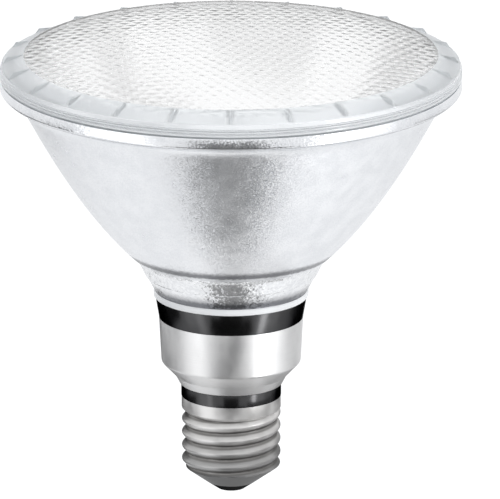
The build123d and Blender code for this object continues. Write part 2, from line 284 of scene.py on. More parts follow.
class Graph:
    """Node tree of one finish, built round its Principled shader."""

    LAYER_ROUGHNESS = 0.55
    MIDDLE = (0.5, 0.5, 0.5)

    def __init__(self, name: str) -> None:
        """Makes the material.

        Args:
            name: Name of the finish.
        """
        self.material = bpy.data.materials.new(name)
        self.material.use_nodes = True
        self.tree = self.material.node_tree
        self.shader = self.tree.nodes["Principled BSDF"]
        self.point = self.add("ShaderNodeTexCoord").outputs["Object"]

    def add(self, kind: str, **settings: object) -> Node:
        """Adds one node.

        Args:
            kind: Node type.
            settings: Properties of the node.

        Returns:
            The node.
        """
        node = self.tree.nodes.new(kind)
        for key, value in settings.items():
            setattr(node, key, value)
        return node

    def put(self, target: Socket, value: object) -> None:
        """Links an input to a socket or sets it to a constant.

        Args:
            target: The input.
            value: The socket or the constant.
        """
        if isinstance(value, Socket):
            self.tree.links.new(value, target)
        else:
            target.default_value = value

    def feed(self, node: Node, **inputs: object) -> Node:
        """Sets or links a node's inputs by name, with underscores for spaces.

        Args:
            node: The node.
            inputs: A socket to link or a constant for each input.

        Returns:
            The node.
        """
        for key, value in inputs.items():
            self.put(node.inputs[key.replace("_", " ")], value)
        return node

    def pattern(self, grain_mm: float, detail: float = 2.0, stretch: Point3 = (1, 1, 1)) -> Node:
        """Soft random pattern on object coordinates.

        Args:
            grain_mm: Size of its features.
            detail: Number of finer layers.
            stretch: How much finer it is along each axis.

        Returns:
            The noise node.
        """
        scale = [k / (grain_mm * MM) for k in stretch]
        mapped = self.feed(self.add("ShaderNodeMapping"), Vector=self.point, Scale=scale)
        return self.feed(
            self.add("ShaderNodeTexNoise"),
            Vector=mapped.outputs["Vector"],
            Scale=1.0,
            Detail=detail,
            Roughness=self.LAYER_ROUGHNESS,
        )

    def noise(self, grain_mm: float, detail: float = 2.0, stretch: Point3 = (1, 1, 1)) -> Socket:
        """Value of a soft random pattern, from 0 to 1, with the same arguments as pattern."""
        return self.pattern(grain_mm, detail, stretch).outputs["Fac"]

    def etched(self, grain: Node, lean: float, under: Socket) -> Socket:
        """Normals that lean at random from grain to grain, as on etched glass.

        Args:
            grain: The noise node whose colour gives the directions.
            lean: How far they lean.
            under: Normal of the relief below the grain.

        Returns:
            A normal socket.
        """
        centred = self.add("ShaderNodeVectorMath", operation="SUBTRACT")
        self.put(centred.inputs[0], grain.outputs["Color"])
        self.put(centred.inputs[1], self.MIDDLE)
        push = self.add("ShaderNodeVectorMath", operation="SCALE")
        self.feed(push, Vector=centred.outputs["Vector"], Scale=lean)
        tipped = self.add("ShaderNodeVectorMath", operation="ADD")
        self.put(tipped.inputs[0], under)
        self.put(tipped.inputs[1], push.outputs["Vector"])
        unit = self.add("ShaderNodeVectorMath", operation="NORMALIZE")
        return self.feed(unit, Vector=tipped.outputs["Vector"]).outputs["Vector"]

    def spread(
        self, value: Socket, low: float, high: float, start: float = 0.0, end: float = 1.0
    ) -> Socket:
        """Maps a range of a value smoothly to another.

        Args:
            value: The value to map.
            low: Where the range starts.
            high: Where it ends.
            start: What low becomes.
            end: What high becomes.

        Returns:
            The mapped value.
        """
        node = self.add("ShaderNodeMapRange", interpolation_type="SMOOTHSTEP")
        for target, given in zip(node.inputs, (value, low, high, start, end)):
            self.put(target, given)
        return node.outputs["Result"]

    def sum(self, operation: str, first: object, second: object) -> Socket:
        """One step of arithmetic.

        Args:
            operation: Name of a Math node's operation.
            first: A socket or number.
            second: A socket or number.

        Returns:
            The result.
        """
        node = self.add("ShaderNodeMath", operation=operation)
        for target, value in zip(node.inputs, (first, second)):
            self.put(target, value)
        return node.outputs[0]

    def mingle(self, first: Socket, second: Socket, share: float) -> Socket:
        """Adds two patterns up, the first by its share and the second by the rest."""
        rest = self.sum("MULTIPLY", second, 1 - share)
        return self.sum("ADD", self.sum("MULTIPLY", first, share), rest)

    def tint(self, factor: Socket, first: object, second: object) -> Socket:
        """Blends two colours.

        Args:
            factor: Share of the second colour.
            first: A colour or a colour socket.
            second: A colour or a colour socket.

        Returns:
            The blended colour.
        """
        node = self.add("ShaderNodeMix", data_type="RGBA")
        for index, value in ((0, factor), (6, first), (7, second)):
            self.put(node.inputs[index], value)
        return node.outputs[2]

    def drift(self, pattern: Socket, shade: Colour, light: Colour, low: float = 0.3) -> Socket:
        """Colour that drifts from shade to light with a pattern, between low and as far from 1."""
        return self.tint(self.spread(pattern, low, 1 - low), shade, light)

    def gloss(self, pattern: Socket, mean: float, least: float = 0.85, most: float = 1.2) -> Socket:
        """Roughness that drifts with a pattern between two multiples of its mean."""
        return self.spread(pattern, 0.25, 0.75, mean * least, mean * most)

    def axis_parts(self) -> tuple[Socket, Socket]:
        """Distance from the lamp's axis and height up it.

        Returns:
            Two sockets, in metres.
        """
        parts = self.feed(self.add("ShaderNodeSeparateXYZ"), Vector=self.point)
        flat = self.add("ShaderNodeCombineXYZ")
        self.feed(flat, X=parts.outputs["X"], Y=parts.outputs["Y"])
        length = self.add("ShaderNodeVectorMath", operation="LENGTH")
        self.feed(length, Vector=flat.outputs["Vector"])
        return length.outputs["Value"], parts.outputs["Z"]

    def bump(self, height: Socket, depth_mm: float) -> Socket:
        """Normal of a relief whose height pattern, from 0 to 1, is so many millimetres deep."""
        node = self.add("ShaderNodeBump")
        return self.feed(node, Height=height, Distance=depth_mm * MM).outputs["Normal"]


@dataclass(frozen=True)
class Finish:
    """Named finish that makes its own material."""

    name: str

    def material(self) -> Material:
        """Builds the material.

        Returns:
            The painted material.
        """
        graph = Graph(self.name)
        self.paint(graph)
        return graph.material

    def paint(self, graph: Graph) -> None:
        """Feeds the shader of the node tree; each kind of finish has its own way."""
        raise NotImplementedError


def dress_nodes(finish: Finish, *nodes: str) -> list[str]:
    """Puts one finish on CAD nodes.

    Args:
        finish: The finish.
        nodes: Names of the nodes.

    Returns:
        The same names.
    """
    material = finish.material()
    for node in nodes:
        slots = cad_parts[node].data.materials
        slots.clear()
        slots.append(material)
    return list(nodes)


@dataclass(frozen=True)
class PressedGlass(Finish):
    """Clear glass with the faint waviness of a pressing."""

    tint: Colour
    roughness: float
    clearness: float = 1.0
    ior: float = 1.5
    wave_mm: float = 7.0
    wave_depth_mm: float = 0.05
    soften_mm: float = 0.0
    soften_samples: int = 8
    paling: float = 1.03

    def paint(self, graph: Graph) -> None:
        """Feeds the shader.

        Args:
            graph: The node tree.
        """
        waves = graph.noise(self.wave_mm, 1.0)
        normal = graph.bump(waves, self.wave_depth_mm)
        if self.soften_mm:
            edges = graph.add("ShaderNodeBevel", samples=self.soften_samples)
            graph.feed(edges, Radius=self.soften_mm * MM)
            graph.put(normal.node.inputs["Normal"], edges.outputs["Normal"])
        pale = tuple(min(1.0, part * self.paling) for part in self.tint[:3]) + (1.0,)
        graph.feed(
            graph.shader,
            Base_Color=graph.tint(waves, self.tint, pale),
            Roughness=self.roughness,
            IOR=self.ior,
            Transmission_Weight=self.clearness,
            Normal=normal,
        )


class Along(Enum):
    """Ways to measure where a ring of painted shade lies."""

    RADIUS = 0
    HEIGHT = 1


@dataclass(frozen=True)
class PaintedShadeRing:
    """Ragged ring of painted shade on the silvering, from where it starts to where it ends, in
    millimetres.
    """

    along: Along
    start: float
    full: float
    fade: float
    end: float
    tone: Colour
    ragged: float
    fray: float = 0.9

    def shade(self, graph: Graph, colour: Socket) -> Socket:
        """Paints shade into a colour inside the ring.

        Args:
            graph: The finish.
            colour: The silvering without the painted shade.

        Returns:
            The colour with the painted shade.
        """
        place = graph.axis_parts()[self.along.value]
        offset = graph.sum("SUBTRACT", graph.noise(self.fray, 3.0), 0.5)
        place = graph.sum("ADD", place, graph.sum("MULTIPLY", offset, self.ragged * MM))
        rise = graph.spread(place, self.start * MM, self.full * MM)
        fall = graph.spread(place, self.fade * MM, self.end * MM, 1.0, 0.0)
        return graph.tint(graph.sum("MULTIPLY", rise, fall), colour, self.tone)


@dataclass(frozen=True)
class SilveredGlass(Finish):
    """Silvering behind glass, from etched satin to a clear mirror by its grain."""

    light: Colour
    shade: Colour
    roughness: float
    grain_mm: float
    lean: float
    wave_mm: float
    wave_depth_mm: float
    # Rings of painted shade on the silvering.
    rings: tuple[PaintedShadeRing, ...] = ()
    metal: float = 1.0
    grain_share: float = 0.6

    def paint(self, graph: Graph) -> None:
        """Feeds the shader.

        Args:
            graph: The node tree.
        """
        grain = graph.pattern(self.grain_mm, 2.0)
        waves = graph.noise(self.wave_mm, 2.0)
        speckle = graph.mingle(grain.outputs["Fac"], waves, self.grain_share)
        colour = graph.drift(speckle, self.shade, self.light, low=0.35)
        # Rings of painted shade darken the colour where they lie.
        for ring in self.rings:
            colour = ring.shade(graph, colour)
        graph.feed(
            graph.shader,
            Base_Color=colour,
            Metallic=self.metal,
            Roughness=graph.gloss(waves, self.roughness, most=1.15),
            Normal=graph.etched(grain, self.lean, graph.bump(waves, self.wave_depth_mm)),
        )


@dataclass(frozen=True)
class SpunMetal(Finish):
    """Bare or plated sheet metal with fine turning lines round the axis."""

    light: Colour
    shade: Colour
    roughness: float
    line_mm: float = 0.12
    line_depth_mm: float = 0.004
    line_stretch: Point3 = (0.02, 0.02, 1.0)
    line_share: float = 0.35
    smear_mm: float = 6.0
    smear_stretch: Point3 = (1.0, 1.0, 0.5)

    def paint(self, graph: Graph) -> None:
        """Feeds the shader.

        Args:
            graph: The node tree.
        """
        lines = graph.noise(self.line_mm, 2.0, self.line_stretch)
        smears = graph.noise(self.smear_mm, 3.0, self.smear_stretch)
        tone = graph.mingle(lines, smears, self.line_share)
        graph.feed(
            graph.shader,
            Base_Color=graph.drift(tone, self.shade, self.light),
            Metallic=1.0,
            Roughness=graph.gloss(smears, self.roughness),
            Normal=graph.bump(lines, self.line_depth_mm),
        )


@dataclass(frozen=True)
class PlatedShell(Finish):
    """Nickel plate on the rolled thread, with painted shade in its valleys, darker towards the foot of
    the thread, and darker and rougher on the coned end.
    """

    name: str = "plated_shell"
    light: Colour = (0.7, 0.695, 0.69, 1.0)
    shade: Colour = (0.54, 0.535, 0.53, 1.0)
    # Painted shade for the thread's valleys.
    valley_shade: Colour = (0.24, 0.235, 0.23, 1.0)
    cone: Colour = (0.1, 0.1, 0.1, 1.0)
    # Thread colour at its foot, darker than higher up.
    lower_tone: Colour = (0.36, 0.36, 0.36, 1.0)
    roughness: float = 0.42
    cone_roughness: float = 0.5
    valley_r: float = 12.0
    crest_r: float = 12.45
    cone_end_z: float = 6.5
    plate_z: float = 7.3
    darkest_z: float = 7.0
    full_tone_z: float = 19.0
    smear_mm: float = 5.0
    line_mm: float = 0.15
    line_depth_mm: float = 0.001
    line_stretch: Point3 = (0.03, 0.03, 1.0)

    def paint(self, graph: Graph) -> None:
        """Feeds the shader.

        Args:
            graph: The node tree.
        """
        radius, height = graph.axis_parts()
        smears = graph.noise(self.smear_mm, 1.5)
        lines = graph.noise(self.line_mm, 2.0, self.line_stretch)
        plate = graph.drift(smears, self.shade, self.light)
        # Valleys darker than crests: painted shade in the thread's grooves.
        crest = graph.spread(radius, self.valley_r * MM, self.crest_r * MM)
        # The thread darkens towards its foot, between the two heights.
        upper_share = graph.spread(height, self.darkest_z * MM, self.full_tone_z * MM)
        lower_thread = graph.tint(crest, self.valley_shade, self.lower_tone)
        thread = graph.tint(upper_share, lower_thread, graph.tint(crest, self.valley_shade, plate))
        # Below the thread the coned end takes its own darker, rougher colour.
        upper = graph.spread(height, self.cone_end_z * MM, self.plate_z * MM)
        gloss = graph.gloss(smears, self.roughness, 0.8, 1.25)
        fade = graph.add("ShaderNodeMix", data_type="FLOAT")
        for index, value in ((0, upper), (2, self.cone_roughness), (3, gloss)):
            graph.put(fade.inputs[index], value)
        graph.feed(
            graph.shader,
            Base_Color=graph.tint(upper, self.cone, thread),
            Metallic=1.0,
            Roughness=fade.outputs[0],
            Normal=graph.bump(lines, self.line_depth_mm),
        )


@dataclass(frozen=True)
class Moulding(Finish):
    """Moulded or cured compound with a fine skin."""

    light: Colour
    shade: Colour
    roughness: float
    gloss: float = 0.5
    skin_mm: float = 0.5
    skin_depth_mm: float = 0.004
    cloud_mm: float = 8.0

    def paint(self, graph: Graph) -> None:
        """Feeds the shader.

        Args:
            graph: The node tree.
        """
        cloud = graph.noise(self.cloud_mm, 2.0)
        graph.feed(
            graph.shader,
            Specular_IOR_Level=self.gloss,
            Base_Color=graph.drift(cloud, self.shade, self.light),
            Roughness=graph.gloss(cloud, self.roughness),
            Normal=graph.bump(graph.noise(self.skin_mm, 3.0), self.skin_depth_mm),
        )


@dataclass(frozen=True)
class BlackEnamel(Finish):
    """Polished black enamel that stays dark towards its edges."""

    name: str = "black_gloss"
    light: Colour = (0.075, 0.075, 0.077, 1.0)
    shade: Colour = (0.065, 0.065, 0.067, 1.0)
    edge: Colour = (0.0, 0.0, 0.0, 1.0)
    roughness: float = 0.19
    skin_mm: float = 0.8
    skin_depth_mm: float = 0.002
    cloud_mm: float = 5.0

    def paint(self, graph: Graph) -> None:
        """Feeds the shader.

        Args:
            graph: The node tree.
        """
        cloud = graph.noise(self.cloud_mm, 3.0)
        graph.feed(
            graph.shader,
            Base_Color=graph.drift(cloud, self.shade, self.light),
            Metallic=1.0,
            Specular_Tint=self.edge,
            Roughness=graph.gloss(cloud, self.roughness),
            Normal=graph.bump(graph.noise(self.skin_mm, 2.0), self.skin_depth_mm),
        )


@dataclass(frozen=True)
class WovenSleeve(Finish):
    """Braided glass-fibre sleeve."""

    name: str = "woven_sleeve"
    light: Colour = (0.84, 0.82, 0.76, 1.0)
    shade: Colour = (0.5, 0.48, 0.43, 1.0)
    roughness: float = 0.8
    braid_mm: float = 0.35
    braid_depth_mm: float = 0.06

    def paint(self, graph: Graph) -> None:
        """Feeds the shader.

        Args:
            graph: The node tree.
        """
        fine = 1 / (self.braid_mm * MM)
        strands = []
        for slant in (fine, -fine):
            turned = graph.add("ShaderNodeMapping")
            graph.feed(turned, Vector=graph.point, Scale=[slant, slant, fine])
            wave = graph.add("ShaderNodeTexWave", bands_direction="DIAGONAL")
            strands.append(graph.feed(wave, Vector=turned.outputs["Vector"], Scale=0.5).outputs["Fac"])
        braid = graph.sum("MULTIPLY", *strands)
        graph.feed(
            graph.shader,
            Base_Color=graph.tint(braid, self.shade, self.light),
            Roughness=self.roughness,
            Normal=graph.bump(braid, self.braid_depth_mm),
        )


class LensZone(Enum):
    """Stretches of the lens that are finished differently."""

    CLEAR = 0
    SMOOTH = 1
    WALL = 2


@dataclass
class Lens:
    """Domed glass front with a pressed pattern of small lenses, a smooth bevel and radial ribs."""

    rim_r: float = 60.5
    rim_round: float = 0.25
    foot_z: float = 113.4
    step_z: float = 115.4
    step_r: float = 60.2
    step_round: float = 0.1
    top: Point = (60.1, 116.5)
    top_round: float = 0.4
    dome_edge: Point = (54.2, 119.1)
    apex_z: float = 122.1
    wall: float = 3.0
    mouth_r: float = 55.7
    inner_rings: int = 24
    groove_z: tuple[float, ...] = (114.95, 114.25)
    groove_half: float = 0.2
    groove_deep: float = 0.25
    rib_count: int = 24
    rib_start: Point = (54.2, 118.95)
    rib_top: Point = (58.6, 118.2)
    rib_foot: Point = (59.7, 116.5)
    rib_round: float = 0.6
    rib_draft: float = 0.45
    segments: int = 384
    pitch: float = 3.5
    row_turn: float = math.radians(3.7)
    lens_curve: float = 15.0
    fineness: int = 6
    grid_reach: float = 1.17
    pattern_margin: float = 0.35
    slack: float = 0.02
    bevel_slack: float = 0.1
    clear: PressedGlass = PressedGlass("lens_glass", (0.993, 0.997, 1.0, 1.0), 0.04)
    smooth: PressedGlass = PressedGlass(
        "bevel_glass", (0.93, 0.955, 0.967, 1.0), 0.35, 0.5, soften_mm=1.3
    )
    edge: PressedGlass = PressedGlass("rim_glass", (0.93, 0.95, 0.965, 1.0), 0.15, 0.4)

    def build(self) -> list[str]:
        """Models the lens.

        Returns:
            The piece's name.
        """
        bm = bmesh.new()
        self._press_pattern(bm)
        half_step = math.pi / self.segments
        turn_section(bm, self._plain_section(), self.segments, closed=False, start=half_step)
        bmesh.ops.remove_doubles(bm, verts=bm.verts, dist=SEAM_WELD)
        self._raise_ribs(bm)
        for face in bm.faces:
            face.material_index = self._zone(face.calc_center_median()).value
        finishes = [finish.material() for finish in (self.clear, self.smooth, self.edge)]
        return [finish_piece(bm, "lens_glass", "lens_glass", "lens", *finishes)]

    def _zone(self, spot: Vector) -> LensZone:
        """Tells how a place on the glass is finished.

        Args:
            spot: The place.

        Returns:
            Its zone.
        """
        r, z = spot.xy.length / MM, spot.z / MM
        within_mouth = r < self.mouth_r - self.slack and z < self.dome_edge[1] - self.wall / 2
        if r < self.dome_edge[0] or within_mouth:
            return LensZone.CLEAR
        return LensZone.SMOOTH if z > self.top[1] - self.slack else LensZone.WALL

    def _ridge(self) -> list[Point]:
        """Top line of a rib.

        Returns:
            Points from where it leaves the bevel to where it meets it again.
        """
        side = Section().to(*self.rib_start).to(*self.rib_top, self.rib_round).to(*self.rib_foot)
        line = side.outline(closed=False)
        root = intersect_line_line_2d(line[0], line[1], self.dome_edge, self.top)
        foot = intersect_line_line_2d(line[-2], line[-1], self.dome_edge, self.top)
        return [(root.x, root.y), *line[1:-1], (foot.x, foot.y)]

    def _bevel_z(self, r: float) -> float:
        """Height of the smooth bevel at a radius."""
        slope = (self.dome_edge[1] - self.top[1]) / (self.top[0] - self.dome_edge[0])
        return self.top[1] + (self.top[0] - r) * slope

    def _plain_section(self) -> list[Point]:
        """Half section of everything but the patterned face.

        Returns:
            Points from the edge of the outer face round to the axis below.
        """
        section = Section().to(*self.dome_edge)
        section.through((r, self._bevel_z(r)) for r, _ in self._ridge())
        section.to(*self.top, self.top_round).to(self.step_r, self.step_z, self.step_round)
        section.to(self.rim_r, self.step_z, self.rim_round)
        for z in self.groove_z:
            section.to(self.rim_r, z + self.groove_half).to(self.rim_r - self.groove_deep, z)
            section.to(self.rim_r, z - self.groove_half)
        section.to(self.rim_r, self.foot_z, self.rim_round)
        section.to(self.mouth_r, self.foot_z)
        edge = (self.dome_edge[0], self.dome_edge[1] - self.wall)
        apex = self.apex_z - self.wall
        rings = [edge[0] * (1 - i / self.inner_rings) for i in range(self.inner_rings + 1)]
        section.through((r, spherical(apex, edge, r)) for r in rings)
        return section.outline(closed=False)

    def _press_pattern(self, bm: Shape) -> None:
        """Adds the outer face with its hexagonal rows of small lenses.

        Args:
            bm: The mesh to add to.
        """
        edge_r = self.dome_edge[0]
        step = self.pitch / self.fineness
        count = 2 * math.ceil(edge_r * self.grid_reach / step)
        size = count * step * MM / 2
        lean = Matrix(((1, 0.5, 0, 0), (0, math.sqrt(3) / 2, 0, 0), (0, 0, 1, 0), (0, 0, 0, 1)))
        rows = Matrix.Rotation(self.row_turn, 4, "Z") @ lean
        bmesh.ops.create_grid(bm, x_segments=count, y_segments=count, size=size, matrix=rows)
        far = [v for v in bm.verts if v.co.xy.length > (edge_r - self.pattern_margin) * MM]
        bmesh.ops.delete(bm, geom=far, context="VERTS")
        bmesh.ops.triangulate(bm, faces=bm.faces, quad_method="SHORT_EDGE")
        border = [e for e in bm.edges if e.is_boundary]
        loose = [e for e in bm.edges if e.is_wire]
        bmesh.ops.delete(bm, geom=loose, context="EDGES")
        half_step = Matrix.Rotation(math.pi / self.segments, 4, "Z")
        ring = bmesh.ops.create_circle(
            bm, cap_ends=False, segments=self.segments, radius=edge_r * MM, matrix=half_step
        )
        hoop = {e for v in ring["verts"] for e in v.link_edges}
        bmesh.ops.triangle_fill(bm, use_beauty=True, edges=border + list(hoop), normal=(0, 0, 1))
        outer = set(ring["verts"])
        for v in bm.verts:
            along = Matrix.Rotation(-self.row_turn, 2) @ v.co.xy / MM
            relief = 0.0 if v in outer else self._relief(along.x, along.y)
            r = v.co.xy.length / MM
            v.co.z = (spherical(self.apex_z, self.dome_edge, r) - relief) * MM

    def _relief(self, x: float, y: float) -> float:
        """Drop of the patterned face below the dome.

        Args:
            x: Place along the rows.
            y: Place across the rows.

        Returns:
            Depth in millimetres, nil at the middle of a small lens.
        """
        row_gap = self.pitch * math.sqrt(3) / 2
        nearest = math.inf
        for row in (math.floor(y / row_gap), math.floor(y / row_gap) + 1):
            offset = (row % 2) * self.pitch / 2
            column = round((x - offset) / self.pitch)
            centre = (column * self.pitch + offset, row * row_gap)
            nearest = min(nearest, (x - centre[0]) ** 2 + (y - centre[1]) ** 2)
        return self.lens_curve - math.sqrt(self.lens_curve**2 - nearest)

    def _raise_ribs(self, bm: Shape) -> None:
        """Lifts one narrow facet of the bevel at each rib.

        Args:
            bm: The lens so far.
        """
        ridge = self._ridge()
        apart = math.tau / self.rib_count
        reach = math.pi / self.segments
        chosen = []
        for face in bm.faces:
            middle = face.calc_center_median()
            r, z = middle.xy.length / MM, middle.z / MM
            turn = math.remainder(math.atan2(middle.y, middle.x), apart)
            on_bevel = abs(z - self._bevel_z(r)) < self.bevel_slack
            if ridge[0][0] < r < ridge[-1][0] and on_bevel and abs(turn) < reach:
                chosen.append(face)
        grown = bmesh.ops.extrude_face_region(bm, geom=chosen)
        for v in grown["geom"]:
            if not isinstance(v, bmesh.types.BMVert):
                continue
            r = v.co.xy.length / MM
            spot = min(ridge, key=lambda point: abs(point[0] - r))
            v.co.z = spot[1] * MM
            if spot not in (ridge[0], ridge[-1]):
                turn = math.remainder(math.atan2(v.co.y, v.co.x), apart)
                v.co.xy = Matrix.Rotation((self.rib_draft - 1) * turn, 2) @ v.co.xy
        bmesh.ops.remove_doubles(bm, verts=bm.verts, dist=SEAM_WELD)


class BowlZone(Enum):
    """Stretches of the glass bowl that are finished differently."""

    SATIN = 0
    NECK = 1
    MIRROR = 2
    RIM = 3
    LIP = 4


@dataclass
class Bowl:
    """Silvered glass bowl with its flange, stepped neck, spigot and floor, and the seal on its rim."""

    rim_r: float = 60.5
    seam_z: float = 113.0
    seam_round: float = 0.25
    flange_z: float = 110.0
    flange_round: float = 0.8
    rim_from_z: float = 108.5
    bowl_top: Point = (54.7, 106.0)
    heel: Point = (25.6, 64.5)
    heel_round: float = 1.0
    satin_from_z: float = 64.1
    neck_top: Point = (24.5, 63.4)
    neck_round: float = 0.8
    step_top: Point = (22.8, 59.85)
    step_foot: Point = (22.45, 59.5)
    step_round: float = 0.15
    groove: Point = (20.1, 55.4)
    neck_from_z: float = 55.3
    lip: Point = (20.4, 55.1)
    lip_round: float = 0.12
    neck_z: float = 53.6
    foot_round: float = 0.3
    spigot_r: float = 16.9
    spigot_z: float = 44.97
    pocket_r: float = 15.0
    floor_z: float = 48.47
    floor_top_z: float = 51.47
    floor_round: float = 1.0
    mouth_r: float = 55.7
    mirror_heel: Point = (22.3, 64.5)
    mirror_slack: float = 1.0
    pocket_slack: float = 0.1
    wall_steps: int = 60
    cove_steps: int = 16
    segments: int = 320
    satin: SilveredGlass = SilveredGlass(
        name="satin_silver",
        light=(0.9, 0.91, 0.93, 1.0),
        shade=(0.78, 0.795, 0.82, 1.0),
        roughness=0.32,
        grain_mm=0.33,
        lean=0.65,
        wave_mm=5.0,
        wave_depth_mm=0.05,
        # Painted shade: a ragged dark line round the heel, where the bowl turns into the neck.
        rings=(PaintedShadeRing(Along.RADIUS, 26.3, 27.0, 27.7, 29.4, (0.24, 0.245, 0.26, 1.0), 1.2),),
    )
    bright: SilveredGlass = SilveredGlass(
        name="neck_silver",
        light=(0.93, 0.94, 0.95, 1.0),
        shade=(0.8, 0.81, 0.83, 1.0),
        roughness=0.24,
        grain_mm=0.8,
        lean=0.6,
        wave_mm=2.0,
        wave_depth_mm=0.22,
        # Painted shade: the neck darkens towards the groove at its foot, darkest just above it.
        rings=(
            PaintedShadeRing(Along.HEIGHT, 50.0, 51.0, 57.0, 59.2, (0.5, 0.505, 0.52, 1.0), 0.8),
            PaintedShadeRing(Along.HEIGHT, 50.0, 51.0, 56.4, 57.6, (0.2, 0.205, 0.22, 1.0), 0.8),
        ),
    )
    mirror: SilveredGlass = SilveredGlass(
        name="mirror_silver",
        light=WHITE,
        shade=(0.98, 0.983, 0.99, 1.0),
        roughness=0.03,
        grain_mm=1.2,
        lean=0.01,
        wave_mm=9.0,
        wave_depth_mm=0.08,
    )
    rim: SilveredGlass = SilveredGlass(
        name="rim_silver",
        light=(0.9, 0.91, 0.93, 1.0),
        shade=(0.76, 0.775, 0.8, 1.0),
        roughness=0.2,
        grain_mm=0.45,
        lean=0.3,
        wave_mm=6.0,
        wave_depth_mm=0.05,
        metal=0.92,
    )
    lip_glass: Moulding = Moulding(
        "lip_glass", (0.93, 0.935, 0.94, 1.0), (0.85, 0.86, 0.87, 1.0), 0.4
    )
    seal: Moulding = Moulding("sealant", (0.5, 0.52, 0.53, 1.0), (0.38, 0.4, 0.41, 1.0), 0.5)

    def build(self) -> list[str]:
        """Models the bowl and dresses the seal.

        Returns:
            Names of the dressed pieces.
        """
        bm = bmesh.new()
        turn_section(bm, self._section(), self.segments, closed=False)
        for face in bm.faces:
            middle = face.calc_center_median()
            face.material_index = self._zone(middle.xy.length / MM, middle.z / MM).value
        order = (self.satin, self.bright, self.mirror, self.rim, self.lip_glass)
        finishes = [finish.material() for finish in order]
        piece = finish_piece(bm, "silvered_bowl", "silvered_glass", "reflector", *finishes)
        return [piece, *dress_nodes(self.seal, "rim_seal")]

    def _mirror_z(self, r: float) -> float:
        """Height of the mirror at a radius."""
        low_r, low_z = self.mirror_heel
        return low_z + (r * r - low_r**2) * (self.seam_z - low_z) / (self.mouth_r**2 - low_r**2)

    def _section(self) -> list[Point]:
        """Half section of the bowl.

        Returns:
            Points from the axis under the floor, round the outside, to the axis above the floor.
        """
        wall = parabola(self.heel, self.bowl_top, self.wall_steps)
        run = (wall[-1][0] - wall[-2][0], wall[-1][1] - wall[-2][1])
        cove = tangent_arc(self.bowl_top, run, (self.rim_r, self.flange_z), self.cove_steps)
        pocket_top = (self.pocket_r, self._mirror_z(self.pocket_r))
        mirror = parabola((self.mouth_r, self.seam_z), pocket_top, self.wall_steps)
        section = Section().to(0, self.floor_z).to(self.pocket_r, self.floor_z)
        section.to(self.pocket_r, self.spigot_z).to(self.spigot_r, self.spigot_z)
        section.to(self.spigot_r, self.neck_z).to(self.lip[0], self.neck_z, self.foot_round)
        section.to(*self.lip, self.lip_round)
        for corner in (self.groove, self.step_foot, self.step_top):
            section.to(*corner, self.step_round)
        section.to(*self.neck_top, self.neck_round).to(*self.heel, self.heel_round)
        section.through(wall[1:]).through(cove[1:-1])
        section.to(self.rim_r, self.flange_z, self.flange_round)
        section.to(self.rim_r, self.seam_z, self.seam_round).through(mirror)
        section.to(self.pocket_r, self.floor_top_z, self.floor_round).to(0, self.floor_top_z)
        return section.outline(closed=False)

    def _zone(self, r: float, z: float) -> BowlZone:
        """Finish at a place on the bowl.

        Args:
            r: Distance from the axis.
            z: Height up the axis.

        Returns:
            The zone.
        """
        on_mirror = r < self.mouth_r and abs(z - self._mirror_z(r)) < self.mirror_slack
        in_pocket = r < self.pocket_r + self.pocket_slack and z > self.floor_z + self.mirror_slack
        if on_mirror or in_pocket:
            return BowlZone.MIRROR
        if z > self.rim_from_z:
            return BowlZone.RIM
        if z > self.satin_from_z:
            return BowlZone.SATIN
        return BowlZone.NECK if z > self.neck_from_z else BowlZone.LIP


@dataclass
class Collars:
    """Glossy black rings above and below the skirt."""

    upper: tuple[Corner, ...] = (
        Corner(17.05, 44.8),
        Corner(18.1, 44.8),
        Corner(18.1, 47.8),
        Corner(19.0, 47.8, 0.15),
        Corner(20.0, 53.6, 0.2),
        Corner(17.05, 53.6),
    )
    lower: tuple[Corner, ...] = (
        Corner(8.55, 23.5),
        Corner(12.55, 23.5),
        Corner(12.55, 26.1),
        Corner(13.2, 26.1, 0.15),
        Corner(13.2, 29.5, 0.15),
        Corner(11.4, 29.5),
        Corner(11.4, 31.5),
        Corner(8.55, 31.5),
    )
    segments: int = 224
    finish: BlackEnamel = BlackEnamel()

    def build(self) -> list[str]:
        """Models both rings.

        Returns:
            Names of the pieces.
        """
        material = self.finish.material()
        names = []
        for name, node, corners in (
            ("upper_collar", "upper_ring", self.upper),
            ("lower_collar", "lower_ring", self.lower),
        ):
            bm = bmesh.new()
            turn_section(bm, Section(*corners).outline(), self.segments, closed=True)
            names.append(finish_piece(bm, name, "black_gloss", node, material))
        return names


@dataclass
class Skirt:
    """Spun aluminium skirt between the collars."""

    hole_r: float = 11.55
    foot: Corner = Corner(13.5, 29.5, 0.6)
    waist: Corner = Corner(14.8, 32.0, 0.7)
    hip: Corner = Corner(18.4, 35.8, 1.2)
    top: Corner = Corner(19.0, 47.8)
    edge: float = 0.4
    wall: float = 0.6
    segments: int = 224
    finish: SpunMetal = SpunMetal(
        "skirt_aluminium", (0.73, 0.73, 0.73, 1.0), (0.67, 0.67, 0.675, 1.0), 0.4
    )

    def build(self) -> list[str]:
        """Models the skirt.

        Returns:
            The piece's name.
        """
        sheet = Section().to(self.hole_r, self.foot.z).to(*self.foot).to(*self.waist).to(*self.hip)
        sheet.to(self.top.r, self.top.z - self.edge).to(*self.top)
        outside = sheet.outline(closed=False)
        inside = inset_path(outside, self.wall)
        inside[-1] = (inside[-1][0], self.top.z)
        bm = bmesh.new()
        turn_section(bm, outside + inside[::-1], self.segments, closed=True)
        material = self.finish.material()
        return [finish_piece(bm, "spun_skirt", "skirt_aluminium", "skirt", material)]


